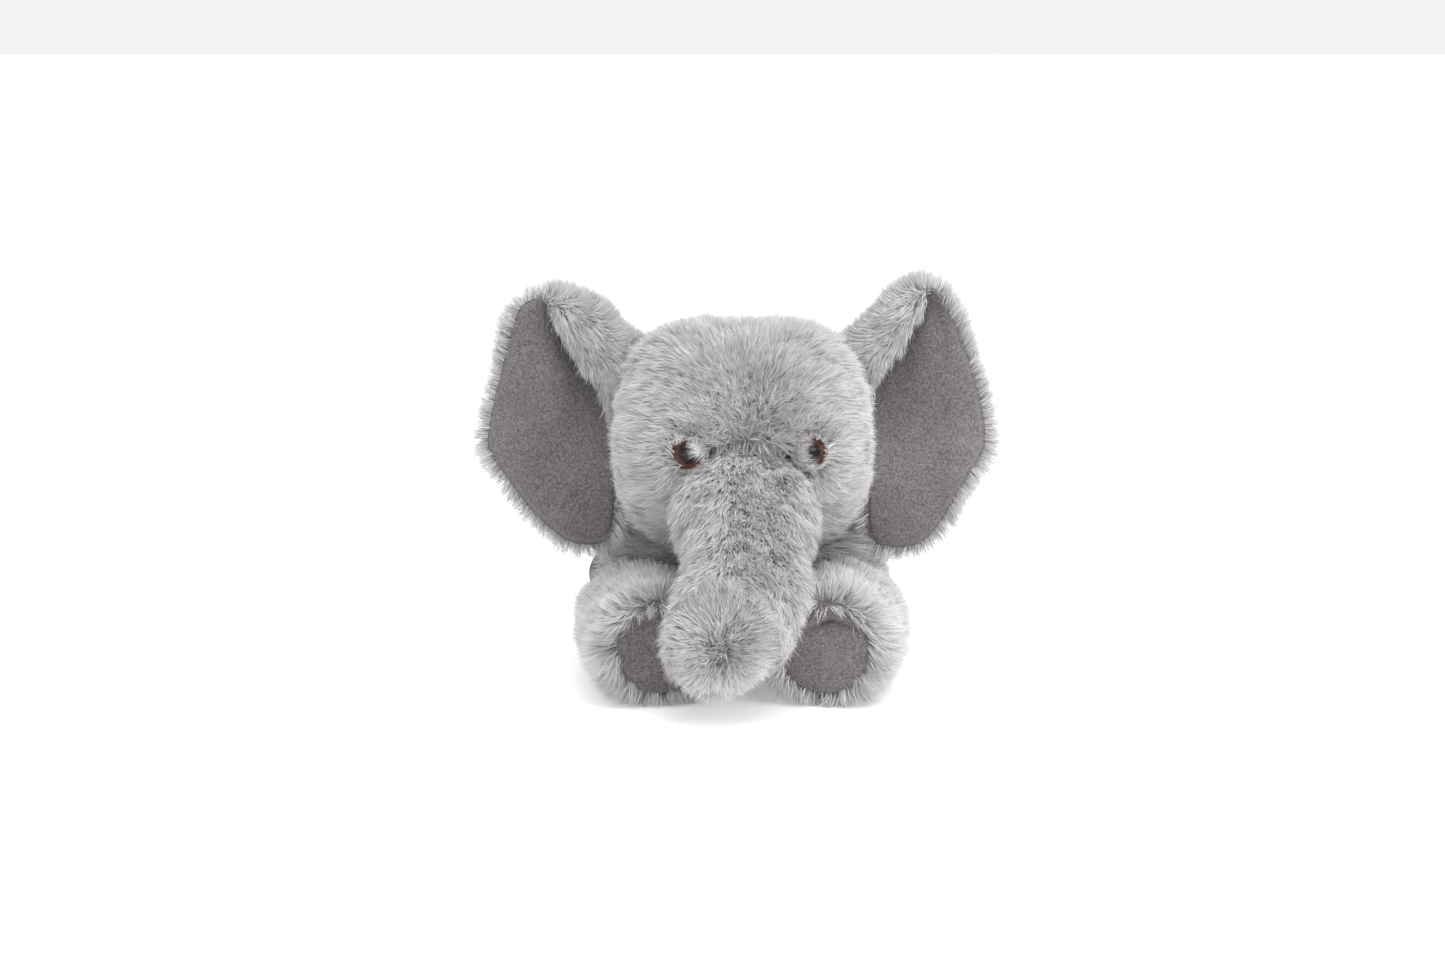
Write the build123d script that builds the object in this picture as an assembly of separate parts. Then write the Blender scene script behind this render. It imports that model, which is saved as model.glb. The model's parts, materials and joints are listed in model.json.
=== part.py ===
"""Plush elephant lying on its belly, with its front legs stretched towards -Y.

Millimetres, +Z up. The elephant looks along -Y, and "left" and "right" are the left and
right of someone who faces it, so left is -X. The origin is on the flat of the belly that
the toy rests on.
"""
from build123d import *
import math
import os

os.makedirs("parts", exist_ok=True)

# ---- Cloth, filling and clearances
FUR = 4.0            # fur cloth: knitted backing and the dense foot of the pile
SUEDE = 1.6          # short-napped cloth of the ear linings and soles
POUCH_CLOTH = 0.8    # woven cloth of the pellet pouch
SLIP = 0.6           # between pieces of different bodies that turn against each other
BALL_EASE = 0.3      # more than that round the ball at a limb's root
FILL_GAP = 0.3       # between a filling and the cloth round it
MOLD_FIT = 0.2       # round the moulded eye where it sits in the cloth

# ---- Torso: a barrel of revolution about Y, flattened where it lies on the floor
TORSO_LENGTH = 116.0
TORSO_RADIUS = 58.0
TORSO_EDGE = 50.0    # radius that rounds the barrel's ends
TORSO_MIDDLE_Y = 32.0
TORSO_AXIS_Z = 42.0
BELLY_SEAM_Z = 20.0  # seam between the belly panel and the two back panels

# ---- Head: a barrel of revolution about X, so that it rolls in its collar on the torso
HEAD_WIDTH = 109.0
HEAD_RADIUS = 50.0
HEAD_EDGE = 36.0
HEAD_Y = -8.0
HEAD_Z = 110.5
GUSSET_WIDTH = 32.0  # middle strip between the two cheek panels
FACE_SHIFT = 2.8     # the face is turned a little, which moves the eyes to the right

# ---- Eyes: moulded, with a stem through the cloth and a washer behind it
EYE_DIAMETER = 15.0
EYE_DOME = 5.6
EYE_SPACING = 53.5
EYE_Z = 109.5
EYE_SEAT = 2.6       # depth of the seat below the face
EYE_PLATE = 1.2
STEM_DIAMETER = 4.0
STEM_LENGTH = 12.0
WASHER_DIAMETER = 13.0
WASHER_DEPTH = 5.0
WASHER_THICKNESS = 1.6

# ---- Trunk: two tapered runs and a bend, from the root ball in the face to the round tip
TRUNK_ROOT = (1.0, -54.0, 86.0)
TRUNK_ELBOW = (1.0, -94.0, 50.0)
TRUNK_NOSE = (-12.0, -106.0, 35.0)
TRUNK_BEND = 40.0    # radius of the bend between the two runs
TRUNK_ROOT_RADIUS = 26.0
TRUNK_ELBOW_RADIUS = 25.5
TRUNK_TIP_RADIUS = 21.5

# ---- Ears: outlines as distance out from the hinge line, and height
EAR_HINGE_GAP = 2.5  # from the widest point of the head to the hinge line
EAR_Y = 0.0
EAR_CUP = 140.0      # radius of the forward cup
EAR_THICKNESS = 6.0
EAR_OUTLINE = [(-9, 150), (13, 170), (35, 177), (47, 167), (54, 143), (60, 110), (53, 91), (40, 72),
               (24, 58), (9, 57)]
LINING_OUTLINE = [(8, 126), (16, 142), (26, 159), (34, 170.5), (42, 164), (50, 142), (55.5, 108),
                  (49, 91), (37, 74), (22, 62), (9, 62)]
EAR_INNER_EDGE = 1.0
EAR_HEEL_Z = 66.0
LINING_INNER_EDGE = 4.5
LINING_HEEL_Z = 67.0

# ---- Legs: radius, pivot and heading of the right-hand one of each pair
FRONT_LEG = {
    "radius": 27.0,
    "length": 66.0,
    "sole": 20.0,
    "pivot": (44.5, -9.0, 26.0),
    "heading": -8.0,
    "close": 0.0,      # degrees inwards, where the trunk stands in the way
}
HIND_LEG = {
    "radius": 22.0,
    "length": 42.0,
    "sole": 16.0,
    "pivot": (43.0, 57.0, 21.0),
    "heading": 176.0,
    "close": 3.0,
}
SOLE_DOME = 2.0
LEG_SPREAD = 25.0    # degrees outwards

# ---- Tail
TAIL_ROOT_Z = 58.0
TAIL_SINK = 2.0      # depth of the knot's middle below the rump
TAIL_KNOT_RADIUS = 5.0
TAIL_CORD_RADIUS = 3.2
TAIL_LENGTH = 26.0
TAIL_DROOP = 22.0    # degrees below level
TUFT_RADIUS = 7.5
TUFT_LENGTH = 20.0

# ---- Pellet pouch low in the rump
POUCH_LENGTH = 48.0
POUCH_RADIUS = 14.5
POUCH_EDGE = 12.0
POUCH_Y = 52.0
POUCH_Z = 24.0

# ---- Woven label: a folded loop in the left side seam
LABEL_WIDTH = 17.0
LABEL_REACH = 12.0
LABEL_PLY = 0.6
LABEL_FOLD = 1.4     # outer thickness of the folded loop
LABEL_Y = 28.0
LABEL_SEAM_DEPTH = 2.0

SIDES = {"left": -1, "right": 1}
FLOOR_BLOCK = Pos(0, 0, -100) * Box(600, 600, 200)


def write(name, solid):
    """Write one piece to its own STEP file."""
    solid.label = name
    export_step(solid, f"parts/{name}.step")


# ---- Basic shapes

def carve(solid, hollows):
    """Take each hollow out of a solid in turn."""
    for hollow in hollows:
        solid -= hollow
    return solid


def rod(radius, low, high):
    """Cylinder along Z between two heights."""
    return Pos(0, 0, (low + high) / 2) * Cylinder(radius, high - low)


def barrel(half_length, radius, edge):
    """Cylinder along X with both ends rounded by a large radius."""
    flat = radius - edge
    run = half_length - edge
    profile = [
        Line((half_length, 0), (half_length, flat)),
        TangentArc((half_length, flat), (run, radius), tangent=(0, 1)),
        Line((run, radius), (-run, radius)),
        TangentArc((-run, radius), (-half_length, flat), tangent=(-1, 0)),
        Line((-half_length, flat), (-half_length, 0)),
        Line((-half_length, 0), (half_length, 0)),
    ]
    return revolve(make_face(profile), Axis.X, 360)


def barrel_slope(half_length, radius, edge, along):
    """Radius of a barrel at a distance along its axis, and the share by which it faces its end."""
    past = max(abs(along) - (half_length - edge), 0)
    height = math.sqrt(edge ** 2 - past ** 2)
    return radius - edge + height, math.copysign(past / edge, along)


def leg_body(leg, grow=0.0):
    """Leg in its own frame: pivot ball at the origin, domed sole towards -Y."""
    radius = leg["radius"] + grow
    length = leg["length"] + grow
    edge = leg["radius"] - leg["sole"]
    sole = radius - edge
    dome = SOLE_DOME
    profile = [
        TangentArc((-radius, 0), (0, radius), tangent=(0, 1)),
        Line((0, radius), (length - edge, radius)),
        TangentArc((length - edge, radius), (length, sole), tangent=(1, 0)),
        TangentArc((length + dome, 0), (length, sole), tangent=(0, 1)),
        Line((length + dome, 0), (-radius, 0)),
    ]
    return Rot(0, 0, -90) * revolve(make_face(profile), Axis.X, 360)


def leg_place(leg, side, turn=0.0):
    """Place of a leg, turned outwards from rest by an angle."""
    x, y, z = leg["pivot"]
    outwards = turn if leg["heading"] < 90 else -turn
    return Pos(side * x, y, z) * Rot(0, 0, side * (leg["heading"] + outwards))


def leg_room(leg, side, grow):
    """Room that a leg's root sweeps: its ball, and its tube over the whole spread."""
    tube = rod(leg["radius"] + grow, 0, 2 * leg["length"])
    room = [leg_place(leg, side) * Sphere(leg["radius"] + grow + BALL_EASE)]
    for turn in (-leg["close"], (LEG_SPREAD - leg["close"]) / 2, LEG_SPREAD):
        room.append(leg_place(leg, side, turn) * Rot(90, 0, 0) * tube)
    return room


def head_body(grow=0.0):
    shape = barrel(HEAD_WIDTH / 2 + grow, HEAD_RADIUS + grow, HEAD_EDGE + grow)
    return Pos(0, HEAD_Y, HEAD_Z) * shape


def torso_barrel(grow=0.0):
    shape = barrel(TORSO_LENGTH / 2 + grow, TORSO_RADIUS + grow, TORSO_EDGE + grow)
    return Pos(0, TORSO_MIDDLE_Y, TORSO_AXIS_Z) * Rot(0, 0, 90) * shape


class Trunk:
    """Middle line of the trunk: first run, bend and last run."""

    root = Vector(*TRUNK_ROOT)
    elbow = Vector(*TRUNK_ELBOW)
    nose = Vector(*TRUNK_NOSE)
    first = (elbow - root).normalized()
    last = (nose - elbow).normalized()
    turn = first.get_angle(last)
    cut = TRUNK_BEND * math.tan(math.radians(turn / 2))
    bend_start = elbow - first * cut
    bend_end = elbow + last * cut
    hinge = first.cross(last).normalized()
    bend_middle = bend_start + hinge.cross(first) * TRUNK_BEND


def taper(start, end, first_radius, last_radius):
    """Cone between two points."""
    way = end - start
    shape = Pos(0, 0, way.length / 2) * Cone(first_radius, last_radius, way.length)
    return Plane(origin=start, z_dir=way) * shape


def trunk_tube(grow=0.0):
    first_run = taper(
        Trunk.root, Trunk.bend_start, TRUNK_ROOT_RADIUS + grow, TRUNK_ELBOW_RADIUS + grow
    )
    ring = Plane(origin=Trunk.bend_start, z_dir=Trunk.first) * Circle(TRUNK_ELBOW_RADIUS + grow)
    bend = revolve(ring, Axis(Trunk.bend_middle, Trunk.hinge), Trunk.turn)
    last_run = taper(
        Trunk.bend_end, Trunk.nose, TRUNK_ELBOW_RADIUS + grow, TRUNK_TIP_RADIUS + grow
    )
    return first_run + bend + last_run


def half_ball(plane, radius, forward):
    """Half of a ball on a plane, on the side that the plane faces or on the other."""
    keep = Keep.TOP if forward else Keep.BOTTOM
    return plane * split(Sphere(radius), bisect_by=Plane.XY, keep=keep)


def trunk_root(grow=0.0):
    plane = Plane(origin=Trunk.root, z_dir=Trunk.first)
    return half_ball(plane, TRUNK_ROOT_RADIUS + grow, False)


def trunk_cap(grow=0.0):
    plane = Plane(origin=Trunk.nose, z_dir=Trunk.last)
    return half_ball(plane, TRUNK_TIP_RADIUS + grow, True)


def trunk_body(grow=0.0):
    return trunk_tube(grow) + trunk_root(grow) + trunk_cap(grow)


def trunk_room(grow):
    """Room for the trunk's root in the face: its ball, and its first run at rest."""
    along = Plane(origin=Trunk.root, z_dir=Trunk.first)
    ball = along * Sphere(TRUNK_ROOT_RADIUS + grow + BALL_EASE)
    run = taper(
        Trunk.root, Trunk.bend_start, TRUNK_ROOT_RADIUS + grow, TRUNK_ELBOW_RADIUS + grow
    )
    return [ball, run]


# ---- Torso

def rump_point():
    """Point of the rump at the tail's height, sunk by the tail knot's depth."""
    flat = TORSO_RADIUS - TORSO_EDGE
    rise = max(TAIL_ROOT_Z - TORSO_AXIS_Z - flat, 0)
    reach = TORSO_LENGTH / 2 - TORSO_EDGE + math.sqrt(TORSO_EDGE ** 2 - rise ** 2)
    return (0, TORSO_MIDDLE_Y + reach - TAIL_SINK, TAIL_ROOT_Z)


def torso_hollows(grow):
    """What the torso leaves free: head, legs over their travel, and the tail's knot."""
    hollows = [head_body(grow), Pos(*rump_point()) * Sphere(TAIL_KNOT_RADIUS + grow)]
    for leg in (FRONT_LEG, HIND_LEG):
        for side in SIDES.values():
            hollows += leg_room(leg, side, grow)
    return hollows


def make_torso():
    inner = torso_barrel(-FUR) - Pos(0, 0, FUR) * FLOOR_BLOCK
    shell = carve(torso_barrel() - FLOOR_BLOCK - inner, torso_hollows(SLIP))
    write("body_belly", split(shell, bisect_by=Plane.XY.offset(BELLY_SEAM_Z), keep=Keep.BOTTOM))
    upper = split(shell, bisect_by=Plane.XY.offset(BELLY_SEAM_Z), keep=Keep.TOP)
    write("body_back_left", split(upper, bisect_by=Plane.YZ, keep=Keep.BOTTOM))
    write("body_back_right", split(upper, bisect_by=Plane.YZ, keep=Keep.TOP))

    filling_floor = Pos(0, 0, FUR + FILL_GAP) * FLOOR_BLOCK
    filling = torso_barrel(-FUR - FILL_GAP) - filling_floor
    filling = carve(filling, torso_hollows(SLIP + FILL_GAP))
    write("body_stuffing", filling - pouch_body(FILL_GAP))


def pouch_body(grow=0.0):
    shape = barrel(POUCH_LENGTH / 2 + grow, POUCH_RADIUS + grow, POUCH_EDGE + grow)
    return Pos(0, POUCH_Y, POUCH_Z) * Rot(0, 0, 90) * shape


def make_pouch():
    write("pellet_pouch", pouch_body() - pouch_body(-POUCH_CLOTH))
    write("pellet_fill", pouch_body(-POUCH_CLOTH - FILL_GAP))


def make_label():
    """Loop folded about a vertical line, with its ends held in the side seam."""
    half_gap = LABEL_FOLD / 2 - LABEL_PLY
    loop = Rectangle(LABEL_REACH, LABEL_FOLD) - Pos(LABEL_PLY / 2, 0) * Rectangle(
        LABEL_REACH - LABEL_PLY, 2 * half_gap
    )
    x = -(TORSO_RADIUS - LABEL_SEAM_DEPTH + LABEL_REACH / 2)
    strip = extrude(loop, LABEL_WIDTH)
    placed = Pos(x, LABEL_Y, TORSO_AXIS_Z - LABEL_WIDTH / 2) * strip
    write("label", placed - torso_barrel())


# ---- Head and eyes

def eye_plane(side):
    """Plane on the face at an eye, facing straight out of the cloth."""
    x = FACE_SHIFT + side * EYE_SPACING / 2
    rim, sideways = barrel_slope(HEAD_WIDTH / 2, HEAD_RADIUS, HEAD_EDGE, x)
    rise = EYE_Z - HEAD_Z
    depth = -math.sqrt(rim ** 2 - rise ** 2)
    radial = math.sqrt(1 - sideways ** 2)
    normal = (sideways, radial * depth / rim, radial * rise / rim)
    return Plane(origin=(x, HEAD_Y + depth, EYE_Z), x_dir=(1, 0, 0), z_dir=normal)


def eye_room():
    """Seat and stem hole in the cloth, in the eye's own frame."""
    seat = rod(EYE_DIAMETER / 2 + MOLD_FIT, -EYE_SEAT, HEAD_EDGE)
    stem = rod(STEM_DIAMETER / 2 + MOLD_FIT, -HEAD_EDGE / 2, 0)
    return [seat, stem]


def washer_room():
    """Room for the washer and the stem's end in the filling, in the eye's own frame."""
    washer_end = -WASHER_DEPTH - WASHER_THICKNESS - FILL_GAP
    washer = rod(WASHER_DIAMETER / 2 + FILL_GAP, washer_end, 0)
    stem = rod(STEM_DIAMETER / 2 + FILL_GAP, -EYE_SEAT - STEM_LENGTH - FILL_GAP, 0)
    return [washer, stem]


def eye_lens():
    """Clear dome that stands on the plate."""
    base = EYE_DIAMETER / 2
    ball = (base ** 2 + EYE_DOME ** 2) / (2 * EYE_DOME)
    dome = Pos(0, 0, EYE_DOME - ball) * Sphere(ball)
    dome = split(dome, bisect_by=Plane.XY, keep=Keep.TOP)
    return Pos(0, 0, EYE_PLATE - EYE_SEAT) * dome


def eye_backing():
    """Dark plate behind the dome, in one piece with its stem."""
    plate = rod(EYE_DIAMETER / 2, -EYE_SEAT, EYE_PLATE - EYE_SEAT)
    return plate + rod(STEM_DIAMETER / 2, -EYE_SEAT - STEM_LENGTH, -EYE_SEAT)


def eye_washer():
    ring = Cylinder(WASHER_DIAMETER / 2, WASHER_THICKNESS)
    ring -= Cylinder(STEM_DIAMETER / 2 + MOLD_FIT, WASHER_THICKNESS)
    return Pos(0, 0, -WASHER_DEPTH - WASHER_THICKNESS / 2) * ring


def make_head():
    shell = carve(head_body() - head_body(-FUR), trunk_room(SLIP))
    filling = carve(head_body(-FUR - FILL_GAP), trunk_room(SLIP + FILL_GAP))
    for name, side in SIDES.items():
        plane = eye_plane(side)
        shell = carve(shell, [plane * hollow for hollow in eye_room()])
        filling = carve(filling, [plane * hollow for hollow in washer_room()])
        write(f"eye_{name}_lens", plane * eye_lens())
        write(f"eye_{name}_backing", plane * eye_backing())
        write(f"eye_{name}_washer", plane * eye_washer())
    seam = GUSSET_WIDTH / 2
    strip = Pos(0, HEAD_Y, HEAD_Z) * Box(GUSSET_WIDTH, 3 * HEAD_RADIUS, 3 * HEAD_RADIUS)
    write("head_gusset", shell & strip)
    write("head_side_left", split(shell, bisect_by=Plane.YZ.offset(-seam), keep=Keep.BOTTOM))
    write("head_side_right", split(shell, bisect_by=Plane.YZ.offset(seam), keep=Keep.TOP))
    write("head_stuffing", filling)


# ---- Trunk

def make_trunk():
    write("trunk_sleeve", trunk_tube() + trunk_root() - trunk_tube(-FUR) - trunk_root(-FUR))
    write("trunk_tip", trunk_cap() - trunk_cap(-FUR))
    write("trunk_stuffing", trunk_body(-FUR - FILL_GAP))


# ---- Ears

def ear_blank(outline, inner_edge, heel_z):
    """Face bounded by a curve through the outline and closed along the straight inner edge."""
    head_end = (inner_edge, outline[0][1] - 12)
    foot_end = (inner_edge, heel_z)
    rim = Spline(*outline)
    edges = [
        Line(head_end, outline[0]),
        rim,
        Line(outline[-1], foot_end),
        Line(foot_end, head_end),
    ]
    return make_face(edges)


def ear_sheet(outline, inner_edge, heel_z, front, back):
    """Outline cut from a cupped sheet between two depths behind the cup's inner face."""
    blank = extrude(Plane.XZ * ear_blank(outline, inner_edge, heel_z), EAR_CUP / 2, both=True)
    tall = Pos(0, 0, EAR_CUP) * Cylinder(EAR_CUP + back, 2 * EAR_CUP)
    hollow = Pos(0, 0, EAR_CUP) * Cylinder(EAR_CUP + front, 2 * EAR_CUP)
    return blank & (Pos(cup_middle(), -EAR_CUP, 0) * (tall - hollow))


def cup_middle():
    """Distance out from the hinge line at which the cupped sheet lies furthest back."""
    return max(point[0] for point in EAR_OUTLINE) / 2


def make_ears():
    whole = ear_sheet(EAR_OUTLINE, EAR_INNER_EDGE, EAR_HEEL_Z, 0, EAR_THICKNESS)
    lining = ear_sheet(LINING_OUTLINE, LINING_INNER_EDGE, LINING_HEEL_Z, 0, SUEDE)
    lining_room = ear_sheet(LINING_OUTLINE, LINING_INNER_EDGE, LINING_HEEL_Z, -1, SUEDE)
    back = whole - lining_room
    place = Pos(HEAD_WIDTH / 2 + EAR_HINGE_GAP, EAR_Y, 0)
    for name, side in SIDES.items():
        for piece, shape in (("back", back), ("lining", lining)):
            placed = place * shape
            if side < 0:
                placed = mirror(placed, Plane.YZ)
            write(f"ear_{name}_{piece}", placed)


# ---- Legs

def make_legs():
    for pair, leg in (("front", FRONT_LEG), ("hind", HIND_LEG)):
        outer = leg_body(leg)
        inner = leg_body(leg, -FUR)
        punch = Rot(90, 0, 0) * rod(leg["sole"], leg["length"] / 2, 2 * leg["length"])
        pad_room = leg_body(leg, -SUEDE) & punch
        sleeve = outer - inner - punch
        sole = (outer & punch) - pad_room
        plug = Rot(90, 0, 0) * rod(leg["sole"] - FILL_GAP, 0, 2 * leg["length"])
        filling = leg_body(leg, -FUR - FILL_GAP) + (leg_body(leg, -SUEDE - FILL_GAP) & plug)
        for name, side in SIDES.items():
            place = leg_place(leg, side)
            stem = f"{pair}_leg_{name}"
            write(f"{stem}_sleeve", place * sleeve - FLOOR_BLOCK)
            write(f"{stem}_sole", place * sole - FLOOR_BLOCK)
            write(f"{stem}_stuffing", place * filling)


# ---- Tail

def make_tail():
    cord = rod(TAIL_CORD_RADIUS, 0, TAIL_LENGTH)
    tuft = Rot(0, 90, 0) * barrel(TUFT_LENGTH / 2, TUFT_RADIUS, TUFT_RADIUS - TAIL_CORD_RADIUS)
    tuft = Pos(0, 0, TAIL_LENGTH) * tuft
    place = Pos(*rump_point()) * Rot(-90 - TAIL_DROOP, 0, 0)
    write("tail_cord", place * (Sphere(TAIL_KNOT_RADIUS) + cord))
    write("tail_tuft", place * (tuft - cord))


make_torso()
make_pouch()
make_label()
make_head()
make_trunk()
make_ears()
make_legs()
make_tail()
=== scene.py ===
"""Stuffed elephant: cloth skins, long pile, suede, eyes and label over the CAD frame."""
import json
import math

import bpy
import numpy as np
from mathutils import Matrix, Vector
from mathutils.bvhtree import BVHTree


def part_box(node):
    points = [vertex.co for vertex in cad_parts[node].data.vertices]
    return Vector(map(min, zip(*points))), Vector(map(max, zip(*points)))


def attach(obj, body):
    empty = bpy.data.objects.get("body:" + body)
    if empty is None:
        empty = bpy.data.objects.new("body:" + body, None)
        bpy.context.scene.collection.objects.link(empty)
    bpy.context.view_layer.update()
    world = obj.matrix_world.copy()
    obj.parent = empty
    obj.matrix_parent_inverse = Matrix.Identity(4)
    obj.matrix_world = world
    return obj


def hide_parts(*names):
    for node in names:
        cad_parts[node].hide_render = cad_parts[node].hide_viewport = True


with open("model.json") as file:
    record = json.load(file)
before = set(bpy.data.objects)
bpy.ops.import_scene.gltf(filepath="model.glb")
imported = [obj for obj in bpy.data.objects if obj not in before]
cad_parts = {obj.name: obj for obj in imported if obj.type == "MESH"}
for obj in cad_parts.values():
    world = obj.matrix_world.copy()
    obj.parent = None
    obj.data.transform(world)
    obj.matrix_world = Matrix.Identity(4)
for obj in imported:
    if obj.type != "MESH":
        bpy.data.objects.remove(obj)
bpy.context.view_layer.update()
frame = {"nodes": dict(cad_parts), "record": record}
nodes = frame["nodes"]
members = frame["record"]["behaviour"]["bodies"]
scene = bpy.context.scene

MM = 0.001
PILE_MAP = "OFBake"     # across: tone of a strand, up: from its root to its tip
NAP_AND_SHADE = "nap"             # share by which suede is darkened, painted shade on the ear linings
SIDES = {"left": -1, "right": 1}
THIN = 1

# Places and sizes in mm, as in the CAD
EYE_Z = 109.5
EYE_X = {"left": -23.95, "right": 29.55}
PARTING_Z = 112.0
TRUNK_ROOT = np.array([1.0, -54.0, 86.0])
TRUNK_ELBOW = np.array([1.0, -94.0, 50.0])
TRUNK_NOSE = np.array([-12.0, -106.0, 35.0])
EAR_HINGE_X = 57.0
EAR_CUP = 140.0         # radius of the ear's curve
EAR_CUP_MIDDLE = 30.0   # from the hinge out to the curve's deepest line
EAR_MIDDLE_X = 86.0
EAR_MIDDLE_Z = 112.0
FILL_FRAMES = 20        # length of the filling simulation
SINK_INNER = 8.0        # the skin is fully sunk within this radius of an eye's middle
SINK_OUTER = 11.5
SINK_DEPTH = 8.5
EYE_CLEARING = 6.8      # radius round an eye where no pile grows
LABEL_LOW = 34.0
LABEL_HIGH = 51.0
LEGS = {
    "front": {"pivot": (44.5, -9.0, 26.0), "heading": -8.0, "length": 66.0, "sole": 20.0},
    "hind": {"pivot": (43.0, 57.0, 21.0), "heading": 176.0, "length": 42.0, "sole": 16.0},
}

# Ears as outlines of (x, z), each starting at the head and running over the tip
EAR_CLOTH = {
    "left": [(-46, 146), (-58, 160), (-70, 169.5), (-84, 174.5), (-94, 173.8), (-102, 167.5),
             (-109, 142), (-113, 126), (-116, 108.5), (-115, 101), (-107.5, 90), (-95.5, 73.5),
             (-86, 65), (-79.5, 60), (-68, 58.5), (-57, 63), (-54, 80), (-51, 105), (-48, 128)],
    "right": [(46, 146), (58, 160), (72, 174.5), (79, 179), (86, 178.6), (93, 171.5), (99, 157),
              (105, 140.5), (110, 120), (111, 107.5), (109.5, 101), (99, 83), (93.5, 72.5),
              (86, 63), (79, 58), (66, 57.5), (57, 63), (54, 80), (51, 105), (48, 128)],
}
EAR_LINING = {
    "left": [(-88, 169.4), (-93, 171.5), (-100, 166.4), (-107, 142), (-111, 125.8), (-114, 108.5),
             (-113, 102.4), (-106, 91.3), (-94, 75), (-85, 66.9), (-79, 61.8), (-69, 60.8),
             (-60, 65.9), (-58, 78), (-58, 99.4), (-62, 125.8), (-72, 142), (-82, 159.3)],
    "right": [(83, 172.5), (86, 176.6), (91, 170.5), (97, 156.3), (103, 140), (108, 119.7),
              (109, 107.5), (108, 102.4), (97, 84.2), (92, 74), (85, 64.9), (78, 59.8),
              (68, 60), (59, 63), (57, 80), (58, 103.5), (58, 125.8), (62, 140), (70, 149),
              (78, 163.4)],
}


# ---- Meshes as arrays

def coords(mesh):
    """Vertices of a mesh in mm."""
    flat = np.empty(len(mesh.vertices) * 3, np.float32)
    mesh.vertices.foreach_get("co", flat)
    return flat.reshape(-1, 3).astype(float) / MM


def set_coords(mesh, points):
    mesh.vertices.foreach_set("co", (points * MM).astype(np.float32).ravel())
    mesh.update()


def vertex_normals(mesh):
    flat = np.empty(len(mesh.vertices) * 3, np.float32)
    mesh.vertex_normals.foreach_get("vector", flat)
    return flat.reshape(-1, 3).astype(float)


def unit(vectors):
    length = np.linalg.norm(vectors, axis=-1, keepdims=True)
    return vectors / np.maximum(length, 1e-9)


def make_mesh(name, points, faces, material):
    """Object from points in mm and faces of three or four corners."""
    mesh = bpy.data.meshes.new(name)
    mesh.from_pydata((points * MM).tolist(), [], [list(face) for face in faces])
    mesh.shade_smooth()
    mesh.update()
    obj = bpy.data.objects.new(name, mesh)
    scene.collection.objects.link(obj)
    obj.data.materials.append(material)
    return obj


def tree_of(obj):
    """Search tree of a mesh in mm."""
    mesh = obj.data
    mesh.calc_loop_triangles()
    corners = np.empty(len(mesh.loop_triangles) * 3, np.int32)
    mesh.loop_triangles.foreach_get("vertices", corners)
    return BVHTree.FromPolygons(coords(mesh).tolist(), corners.reshape(-1, 3).tolist())


def waves(points, size, seed):
    """Smooth noise from about -1 to 1 with features of that size in mm."""
    rng = np.random.default_rng(seed)
    ways = unit(rng.normal(size=(7, 3)))
    rates = 2 * math.pi / size * rng.uniform(0.6, 1.5, (7, 1))
    shifts = rng.uniform(0, 2 * math.pi, 7)
    return np.sin(points @ (ways * rates).T + shifts).sum(1) / 2.6


TRUNK_WAY = unit(TRUNK_ELBOW - TRUNK_ROOT)


def ramp(values, start, end):
    """Smooth step from 0 at start to 1 at end."""
    share = np.clip((values - start) / (end - start), 0, 1)
    return share * share * (3 - 2 * share)


# ---- Materials

def new_material(name, roughness, sheen=0.0):
    material = bpy.data.materials.new(name)
    material.use_nodes = True
    tree = material.node_tree
    shader = tree.nodes["Principled BSDF"]
    shader.inputs["Roughness"].default_value = roughness
    shader.inputs["Sheen Weight"].default_value = sheen
    return material, tree, shader


def node(tree, kind, **values):
    made = tree.nodes.new(kind)
    for name, value in values.items():
        setattr(made, name, value)
    return made


def color_ramp(tree, source, stops):
    """Ramp node from (place, grey or colour) stops, fed by an output."""
    made = node(tree, "ShaderNodeValToRGB")
    elements = made.color_ramp.elements
    while len(elements) < len(stops):
        elements.new(0.5)
    for element, (place, tone) in zip(elements, stops):
        element.position = place
        tone = (tone, tone, tone) if isinstance(tone, float) else tone
        element.color = (*tone, 1)
    tree.links.new(source, made.inputs["Fac"])
    return made.outputs["Color"]


def multiply(tree, first, second):
    made = node(tree, "ShaderNodeMix", data_type="RGBA", blend_type="MULTIPLY")
    made.inputs["Factor"].default_value = 1.0
    tree.links.new(first, made.inputs["A"])
    tree.links.new(second, made.inputs["B"])
    return made.outputs["Result"]


def noise(tree, scale, detail=3.0):
    made = node(tree, "ShaderNodeTexNoise")
    made.inputs["Scale"].default_value = scale
    made.inputs["Detail"].default_value = detail
    place = node(tree, "ShaderNodeTexCoord").outputs["Object"]
    tree.links.new(place, made.inputs["Vector"])
    return made.outputs["Fac"]


def add_bump(tree, shader, height, distance, strength=1.0):
    made = node(tree, "ShaderNodeBump")
    made.inputs["Distance"].default_value = distance
    made.inputs["Strength"].default_value = strength
    tree.links.new(height, made.inputs["Height"])
    tree.links.new(made.outputs["Normal"], shader.inputs["Normal"])


def pile_material():
    """Strands: darker at the root as painted shade, and each with a tone of its own."""
    material, tree, shader = new_material("pile", 0.75)
    place = node(tree, "ShaderNodeUVMap", uv_map=PILE_MAP)
    apart = node(tree, "ShaderNodeSeparateXYZ")
    tree.links.new(place.outputs["UV"], apart.inputs["Vector"])
    tone = color_ramp(tree, apart.outputs["X"], [
        (0.0, (0.360, 0.350, 0.355)), (0.5, (0.715, 0.703, 0.709)), (1.0, (0.880, 0.872, 0.876))])
    # Painted shade: each strand darkens towards its root, deep in the pile.
    along = color_ramp(tree, apart.outputs["Y"], [(0.0, 0.70), (0.4, 0.94), (1.0, 1.0)])
    tree.links.new(multiply(tree, tone, along), shader.inputs["Base Color"])
    return material


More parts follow.
